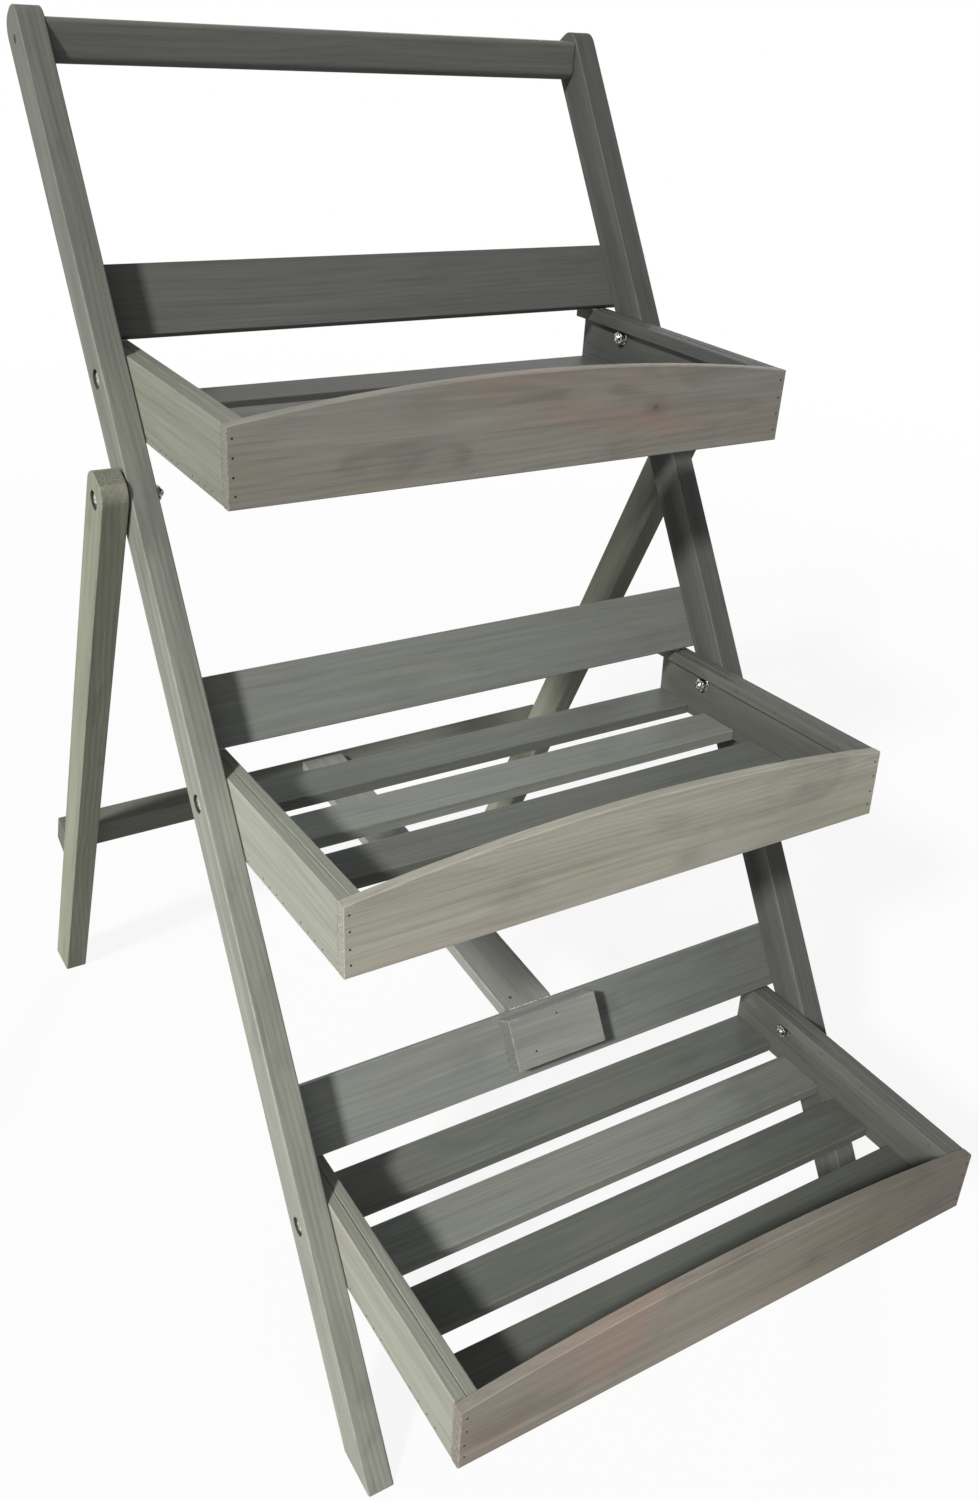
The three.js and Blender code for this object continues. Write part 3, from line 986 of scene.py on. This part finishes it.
@dataclass
class FrontFrame:
    """The raked legs, the rails and the block that backs the strap's hinge.

    A rail nail's place is its distance from the rail's end, and its height as a share of the
    rail's half height. A block screw's place is measured from the block's middle.
    """

    rake: float = 33.82
    rail_nail: NailHead = NailHead(0.00132)
    rail_nail_places: tuple[tuple[float, float], ...] = (
        (0.014, 0.2), (0.02, 0.75), (0.013, -0.3), (0.021, -0.72))
    block_screw: NailHead = NailHead(0.0011)
    block_screw_places: tuple[tuple[float, float], ...] = ((0.0035, 0.019), (-0.03, -0.012))
    top_rail_screw: NailHead = NailHead(0.00418)
    top_rail_screw_drop: float = 0.028
    # The right leg's much darker tone is painted shade, where the shelf's right-hand parts lie in shade.
    leg_finishes: dict[str, StainedWood] = field(default_factory=lambda: {
        "left": StainedWood(linear(150, 153, 144), rose=0.05, olive=0.12, streak=0.22, wear_and_highlight=0.4, smoke=0.5,
                            painted_end_shade=0.5),
        "right": StainedWood(linear(90, 92, 89), rose=0.05, olive=0.12, streak=0.2, wear_and_highlight=0.4, smoke=0.4,
                             painted_end_shade=0.2)})
    # The rails' tones are partly their own colour and partly painted shade: the higher back rails and the
    # top rail below are painted darker, where less light falls.
    rails: dict[str, StainedWood] = field(default_factory=lambda: {
        "top": StainedWood(linear(96, 98, 95), olive=0.1, streak=0.1, smoke=0.2, painted_end_shade=0.15),
        "middle": StainedWood(linear(130, 133, 129), wear_and_highlight=0.35, smoke=0.25, painted_end_shade=0.25),
        "bottom": StainedWood(linear(142, 146, 142), rose=0.12, olive=0.12, wear_and_highlight=0.4, smoke=0.25,
                              knots=(Knot(0.07, 0.006, 0.004, 0.4),), painted_end_shade=0.5)})
    top_rail_finish: StainedWood = StainedWood(linear(102, 104, 100), streak=0.08, smoke=0.2)
    block_finish: StainedWood = StainedWood(linear(147, 148, 144), rose=0.0, olive=0.05, streak=0.16,
                                            wear_and_highlight=0.7)

    def dress(self) -> list[str]:
        """Gives each of the frame's boards its finish.

        Returns:
            The boards' names.
        """
        dressed = []
        for hand, _ in HANDS:
            node = f"front_leg_{hand}"
            board = Board.of(node, self.rake, Grain.ALONG_Z)
            bolts = [f"tray_{name}_{hand}_bolt" for name in self.rails]
            dressed.append(self.leg_finishes[hand].dress(node, board, bolts))
        for name, finish in self.rails.items():
            node = f"back_rail_{name}"
            dressed.append(finish.dress(node, Board.of(node, self.rake, Grain.ALONG_X)))
        dressed.append(self.top_rail_finish.dress("top_rail", Board.of("top_rail", 0, Grain.ALONG_X)))
        block = Board.of("hinge_block", self.rake, Grain.ALONG_X)
        return dressed + [self.block_finish.dress("hinge_block", block)]

    def nail(self, material: bpy.types.Material) -> list[str]:
        """Sets the nails and screws that hold the rails and the block.

        Args:
            material: The heads' finish.

        Returns:
            The pieces' names.
        """
        nails, screws = Shapes(), Shapes()
        for name in self.rails:
            board = Board.of(f"back_rail_{name}", self.rake, Grain.ALONG_X)
            for _, side in HANDS:
                for inset, share in self.rail_nail_places:
                    spot = board.at(side * (board.half[0] - inset), board.half[1], share * board.half[2])
                    self.rail_nail.add(nails, spot, board.way(0, 1, 0))
        block = Board.of("hinge_block", self.rake, Grain.ALONG_X)
        for x, z in self.block_screw_places:
            self.block_screw.add(nails, block.at(x, -block.half[1], z), block.way(0, -1, 0))
        for hand, side in HANDS:
            leg = Board.of(f"front_leg_{hand}", self.rake, Grain.ALONG_Z)
            spot = leg.at(side * leg.half[0], 0, leg.half[2] - self.top_rail_screw_drop)
            self.top_rail_screw.add(screws, spot, Vector((side, 0, 0)))
        return [nails.piece("rail_nail_heads", material, "front_frame").name,
                screws.piece("top_rail_screw_heads", material, "front_frame").name]


@dataclass
class RearFrame:
    """The rear legs and their crossbar."""

    spread: float = 23.24
    bar_slope: float = 0.96
    screw: NailHead = NailHead(0.00286)
    screw_inset: float = 0.013
    screw_shares: tuple[float, float] = (-0.4, 0.4)
    # The right leg's darker tone is painted shade, where the shelf's right-hand parts lie in shade.
    leg_finishes: dict[str, StainedWood] = field(default_factory=lambda: {
        "left": StainedWood(linear(140, 142, 127), rose=0.05, olive=0.25, streak=0.18, wear_and_highlight=0.4, smoke=0.35),
        "right": StainedWood(linear(132, 134, 121), rose=0.05, olive=0.25, streak=0.18, wear_and_highlight=0.4, smoke=0.35,
                             painted_end_shade=0.4)})
    bar_finish: StainedWood = StainedWood(linear(116, 119, 111), rose=0.08, olive=0.25, streak=0.1, wear_and_highlight=0.4,
                                          smoke=0.25)

    def dress(self) -> list[str]:
        """Gives each board its finish.

        Returns:
            The boards' names.
        """
        dressed = []
        for hand, _ in HANDS:
            node = f"rear_leg_{hand}"
            board = Board.of(node, -self.spread, Grain.ALONG_Z)
            dressed.append(self.leg_finishes[hand].dress(node, board, [f"pivot_{hand}_bolt"]))
        return dressed + [self.bar_finish.dress("crossbar", self._bar())]

    def _bar(self) -> Board:
        """The crossbar's frame."""
        return Board.of("crossbar", -self.spread, Grain.ALONG_X, None, self.bar_slope)

    def nail(self, material: bpy.types.Material) -> list[str]:
        """Sets the screws that hold the crossbar to the legs.

        Args:
            material: The heads' finish.

        Returns:
            The piece's name.
        """
        board = self._bar()
        shapes = Shapes()
        reach = board.half[0] - self.screw_inset
        for _, side in HANDS:
            for share in self.screw_shares:
                spot = board.at(side * reach, board.half[1], share * board.half[2])
                self.screw.add(shapes, spot, board.way(0, 1, 0))
        return [shapes.piece("crossbar_screw_heads", material, "rear_frame").name]


@dataclass
class TieStrap:
    """The strap that ties the rear frame to the bottom rail; its screw holds the hinge's leaf."""

    rise: float = 0.83
    swing: float = 1.46
    screw: NailHead = NailHead(0.00176)
    screw_aside: float = -0.014
    screw_inset: float = 0.022
    finish: StainedWood = StainedWood(linear(148, 150, 144), rose=0.08, streak=0.14, wear_and_highlight=0.5)

    def _board(self) -> Board:
        """The strap's frame."""
        return Board.of("tie_strap", -self.rise, Grain.ALONG_Y, None, 0, self.swing)

    def dress(self) -> list[str]:
        """Gives the strap its finish."""
        return [self.finish.dress("tie_strap", self._board())]

    def nail(self, material: bpy.types.Material) -> list[str]:
        """Sets the screw.

        Args:
            material: The head's finish.

        Returns:
            The piece's name.
        """
        board = self._board()
        shapes = Shapes()
        spot = board.at(self.screw_aside, self.screw_inset - board.half[1], board.half[2])
        self.screw.add(shapes, spot, board.way(0, 0, 1))
        return [shapes.piece("strap_screw_heads", material, "strap").name]


@dataclass
class Tray:
    """A tray: its arched front, sides, battens and slats, and the brads that hold them.

    Heights are above a board's lower edge, a slat's brads are placed across it from its middle,
    and the batten brads' shares are of its half length.
    """

    name: str
    lean: float
    front_finish: StainedWood
    side_finishes: dict[str, StainedWood]
    slat_finish: StainedWood
    # Each slat's share of the slat tone, from the front slat to the rear one: partly the slats' own tone and
    # partly painted shade, such as the front panel's shadow on the bottom tray's front slat.
    slat_tone_shares: tuple[float, float, float, float]
    side_height: float = 0.071
    front_rise: float = 0.021
    front_brad: NailHead = NailHead(0.0011)
    front_brad_inset: float = 0.0055
    front_brad_heights: tuple[float, ...] = (0.012, 0.028, 0.045, 0.061)
    slat_brad: NailHead = NailHead(0.000935)
    slat_brad_height: float = 0.0052
    slat_brad_places: tuple[float, ...] = (-0.0225, -0.0075, 0.0075, 0.0225)
    batten_brad: NailHead = NailHead(0.00088)
    batten_brad_shares: tuple[float, ...] = (-0.86, -0.28, 0.1, 0.45)
    hammer_error: float = 0.0008

    def _node(self, part: str) -> str:
        """The solid's name of one of the tray's parts."""
        return f"tray_{self.name}_{part}"

    def _board(self, part: str, grain: Grain, arch: tuple[float, float] | None = None) -> Board:
        """The frame of one of the tray's parts."""
        return Board.of(self._node(part), self.lean, grain, arch)

    def dress(self) -> list[str]:
        """Gives each board its finish.

        Returns:
            The boards' names.
        """
        front = self._board("front", Grain.ALONG_X, (self.side_height, self.front_rise))
        dressed = [self.front_finish.dress(self._node("front"), front)]
        for hand, _ in HANDS:
            for part in (f"side_{hand}", f"batten_{hand}"):
                board = self._board(part, Grain.ALONG_Y)
                dressed.append(self.side_finishes[hand].dress(self._node(part), board))
        for index, share in enumerate(self.slat_tone_shares, 1):
            part = f"slat_{index}"
            finish = replace(self.slat_finish, tone=self.slat_finish.shade(share))
            dressed.append(finish.dress(self._node(part), self._board(part, Grain.FLAT_X)))
        return dressed

    def nail(self, material: bpy.types.Material) -> list[str]:
        """Drives the brads.

        Args:
            material: The heads' finish.

        Returns:
            The piece's name.
        """
        chance = random.Random(self.name)
        shapes = Shapes()
        front = self._board("front", Grain.ALONG_X)

        def near(value: float) -> float:
            """The value with a carpenter's small error."""
            return value + chance.uniform(-self.hammer_error, self.hammer_error)

        for hand, side in HANDS:
            for height in self.front_brad_heights:
                x = side * (front.half[0] - near(self.front_brad_inset))
                spot = front.at(x, -front.half[1], near(height) - front.half[2])
                self.front_brad.add(shapes, spot, front.way(0, -1, 0))
            panel = self._board(f"side_{hand}", Grain.ALONG_Y)
            for index in range(1, len(self.slat_tone_shares) + 1):
                slat = self._board(f"slat_{index}", Grain.FLAT_X)
                for place in self.slat_brad_places:
                    y = slat.middle[1] - panel.middle[1] + near(place)
                    z = near(self.slat_brad_height) - panel.half[2]
                    self.slat_brad.add(shapes, panel.at(side * panel.half[0], y, z), Vector((side, 0, 0)))
            batten = self._board(f"batten_{hand}", Grain.ALONG_Y)
            for share in self.batten_brad_shares:
                spot = batten.at(-side * batten.half[0], near(share * batten.half[1]), near(0))
                self.batten_brad.add(shapes, spot, Vector((-side, 0, 0)))
        return [shapes.piece(self._node("brads"), material, f"tray_{self.name}").name]


def trays() -> list[Tray]:
    """The three trays, each with its own boards.

    Returns:
        The trays, from the top down.
    """
    front = StainedWood(WHITE, rose=0.45, olive=0.45, streak=0.13, wear_and_highlight=0.25, smoke=0.4)
    left_side = StainedWood(WHITE, rose=0.05, wear_and_highlight=0.2, smoke=0.25)
    # The right sides are given much darker tones below: painted shade, where the shelf's right-hand parts
    # lie in shade.
    shaded_right_side = replace(left_side, smoke=0.3)
    slat = StainedWood(WHITE, streak=0.14)
    top_knots = (Knot(0.137, 0.002, 0.0035, 0.5), Knot(-0.135, -0.018, 0.005, 0.25),
                 Knot(-0.12, 0.02, 0.006, 0.2), Knot(0.1, -0.036, 0.006, 0.22))
    middle_knots = (Knot(0.04, 0.012, 0.005, 0.25), Knot(0.2, 0.01, 0.005, 0.3),
                    Knot(0.06, -0.03, 0.004, 0.25))
    bottom_knots = (Knot(0.09, -0.01, 0.004, 0.35), Knot(-0.2, -0.02, 0.005, 0.25))
    # Each tone is partly the board's own colour and partly painted shade: the top tray's boards are painted
    # darker, where less light falls.
    return [
        Tray("top", 1.1,
             replace(front, tone=linear(145, 143, 135), rose=0.5, wear_and_highlight=0.15, smoke=0.5, knots=top_knots,
                     painted_end_shade=0.1),
             {"left": replace(left_side, tone=linear(129, 132, 121)),
              "right": replace(shaded_right_side, tone=linear(74, 76, 74))},
             replace(slat, tone=linear(102, 103, 99)), (1.0, 1.0, 1.0, 0.7)),
        Tray("middle", 4.0,
             replace(front, tone=linear(180, 178, 166), rose=0.35, olive=0.4, knots=middle_knots, painted_end_shade=0.15),
             {"left": replace(left_side, tone=linear(158, 161, 150)),
              "right": replace(shaded_right_side, tone=linear(92, 94, 89))},
             replace(slat, tone=linear(119, 122, 117), painted_end_shade=0.15), (0.95, 1.0, 1.55, 0.95)),
        Tray("bottom", 1.88,
             replace(front, tone=linear(156, 149, 139), knots=bottom_knots, painted_end_shade=0.5),
             {"left": replace(left_side, tone=linear(157, 159, 148)),
              "right": replace(shaded_right_side, tone=linear(97, 99, 94))},
             replace(slat, tone=linear(118, 121, 115), painted_end_shade=0.3), (0.85, 0.95, 1.6, 1.05)),
    ]


def fit_metal(zinc: bpy.types.Material) -> list[str]:
    """Makes the bolts and nuts, and gives the spacers and the hinge their finish.

    Args:
        zinc: The finish.

    Returns:
        The pieces' names.
    """
    hardware = Hardware()
    fitted = []
    for place in ("pivot", "tray_top", "tray_middle", "tray_bottom"):
        for hand, side in HANDS:
            fitted.append(hardware.bolt(f"{place}_{hand}_bolt", side, zinc))
            fitted.append(hardware.nut(f"{place}_{hand}_nut", side, zinc))
    for node in ("pivot_left_spacer", "pivot_right_spacer", "strap_hinge_rail_leaf",
                 "strap_hinge_strap_leaf", "strap_hinge_pin"):
        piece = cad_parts[node]
        piece.data.materials.clear()
        piece.data.materials.append(zinc)
        fitted.append(node)
    return fitted


# Studio


@dataclass(frozen=True)
class Lamp:
    """A far lamp: the way to it, its strength, how wide it looks in degrees, and its colour."""

    name: str
    toward: Point
    strength: float
    width: float
    colour: Colour = (1.0, 0.985, 0.95)

    def hang(self) -> None:
        """Adds the lamp to the scene."""
        data = bpy.data.lights.new(self.name, "SUN")
        data.energy, data.angle, data.color = self.strength, math.radians(self.width), self.colour
        lamp = bpy.data.objects.new(self.name, data)
        bpy.context.scene.collection.objects.link(lamp)
        lamp.rotation_mode = "QUATERNION"
        lamp.rotation_quaternion = Vector(self.toward).to_track_quat("Z", "Y")


@dataclass
class Studio:
    """The camera, the lamps, the floor and the light of the room.

    The camera looks along its azimuth, which is turned from +Y towards +X, and down; angles are
    in degrees. As the camera sees it, the floor glows by a share near the shelf and by another far
    from it.
    """

    eye: Point = (-0.69174, -1.05704, 1.23623)
    azimuth: float = 32.865
    down: float = 29.898
    roll: float = 4.294
    lens: float = 32.536
    sensor: float = 36
    shift: tuple[float, float] = (0.0098, -0.0002)
    clip: tuple[float, float] = (0.01, 200)
    lamps: tuple[Lamp, ...] = (
        Lamp("key_lamp", (-0.728, -0.376, 0.572), 3.0, 6.5),
        Lamp("side_lamp", (-1.0, 0.02, 0.05), 1.0, 3),
        Lamp("fill_lamp", (-0.35, -0.93, 0.12), 0.55, 40, (1.0, 0.97, 0.94)),
        Lamp("back_lamp", (0.62, 0.76, 0.2), 1.2, 20, (0.96, 0.98, 1.0)))
    room: float = 0.14
    room_colour: Colour = (0.93, 0.97, 1.0)
    cloth: float = 0.34
    paper: float = 0.95
    floor_half: float = 300.0
    floor_drop: float = 0.0005
    glow_shares: tuple[float, float] = (0.9, 1.0)
    glow_from: float = 1.2
    glow_to: float = 4.0

    def set_camera(self) -> None:
        """Sets the camera where the photograph was taken from."""
        azimuth, down, roll = (math.radians(a) for a in (self.azimuth, self.down, self.roll))
        level_share = math.cos(down)
        ahead = Vector((math.sin(azimuth) * level_share, math.cos(azimuth) * level_share, -math.sin(down)))
        level = ahead.cross(Vector((0, 0, 1))).normalized()
        above = level.cross(ahead)
        right = level * math.cos(roll) + above * math.sin(roll)
        data = bpy.data.cameras.new("photo_camera")
        data.sensor_width = self.sensor
        data.lens = self.lens
        data.shift_x, data.shift_y = self.shift
        data.clip_start, data.clip_end = self.clip
        camera = bpy.data.objects.new("photo_camera", data)
        bpy.context.scene.collection.objects.link(camera)
        turn = Matrix((right, right.cross(ahead), -ahead)).transposed().to_4x4()
        turn.translation = Vector(self.eye)
        camera.matrix_world = turn
        bpy.context.scene.camera = camera

    def _seen(self, graph: Graph) -> Value:
        """Whether a ray comes from the camera, or from it by way of metal.

        Args:
            graph: The graph that it is for.

        Returns:
            1 for such a ray.
        """
        rays = [graph.node("ShaderNodeLightPath", {}, {}, name)
                for name in ("Is Camera Ray", "Is Glossy Ray", "Is Transmission Ray")]
        return (rays[0] + rays[1] + rays[2]).least(1)

    def set_room(self) -> None:
        """Sets the room's soft light, and white where the camera sees past the shelf."""
        world = bpy.data.worlds.new("room")
        bpy.context.scene.world = world
        graph = Graph(world)
        seen = self._seen(graph)
        soft = graph.node("ShaderNodeBackground", {}, {"Color": self.room_colour, "Strength": self.room})
        white = graph.node("ShaderNodeBackground", {}, {"Color": WHITE, "Strength": 1.0})
        mixed = graph.node("ShaderNodeMixShader", {}, {0: seen, 1: soft, 2: white})
        graph.node("ShaderNodeOutputWorld", {}, {"Surface": mixed})

    def _floor_finish(self) -> bpy.types.Material:
        """The floor's finish: white with a pale shadow to the camera, dark cloth to all else.

        Returns:
            The material.
        """
        graph = Graph.of_material("white_floor")
        place = graph.node("ShaderNodeTexCoord", {}, {}, "Object")
        far = graph.node("ShaderNodeVectorMath", {"operation": "LENGTH"}, {0: place}, "Value")
        cloth = graph.node("ShaderNodeBsdfDiffuse", {}, {"Color": scaled(WHITE, self.cloth)})
        paper = graph.node("ShaderNodeBsdfDiffuse", {}, {"Color": scaled(WHITE, self.paper)})
        white = graph.node("ShaderNodeEmission", {}, {"Color": WHITE, "Strength": 1.0})
        near_glow, far_glow = self.glow_shares
        glow = far.rise(self.glow_from, self.glow_to) * (far_glow - near_glow) + near_glow
        shown = graph.node("ShaderNodeMixShader", {}, {0: glow, 1: paper, 2: white})
        mixed = graph.node("ShaderNodeMixShader", {}, {0: self._seen(graph), 1: cloth, 2: shown})
        graph.node("ShaderNodeOutputMaterial", {}, {"Surface": mixed})
        return graph.owner

    def lay_floor(self) -> None:
        """Lays the floor just under the shelf's feet."""
        mesh = bpy.data.meshes.new("floor")
        half = self.floor_half
        corners = [(x * half, y * half, -self.floor_drop) for x, y in ((-1, -1), (1, -1), (1, 1), (-1, 1))]
        mesh.from_pydata(corners, [], [(0, 1, 2, 3)])
        mesh.materials.append(self._floor_finish())
        floor = bpy.data.objects.new("floor", mesh)
        bpy.context.scene.collection.objects.link(floor)

    def build(self) -> None:
        """Sets up the whole studio."""
        self.set_camera()
        for lamp in self.lamps:
            lamp.hang()
        self.set_room()
        self.lay_floor()


def main() -> None:
    """Builds the shelf's looks and the studio."""
    logging.basicConfig(level=logging.INFO, format="%(name)s: %(message)s")
    bpy.context.scene.view_settings.view_transform = "Standard"
    zinc = Zinc().material("zinc_plate")
    dark = SunkHead().material("sunk_heads")
    for part in (FrontFrame(), RearFrame(), TieStrap(), *trays()):
        for piece in part.dress() + part.nail(dark):
            log.info("%s: %s", type(part).__name__, piece)
    for piece in fit_metal(zinc):
        log.info("Hardware: %s", piece)
    Studio().build()
    log.info("Studio: set")


if __name__ == "__main__":
    main()
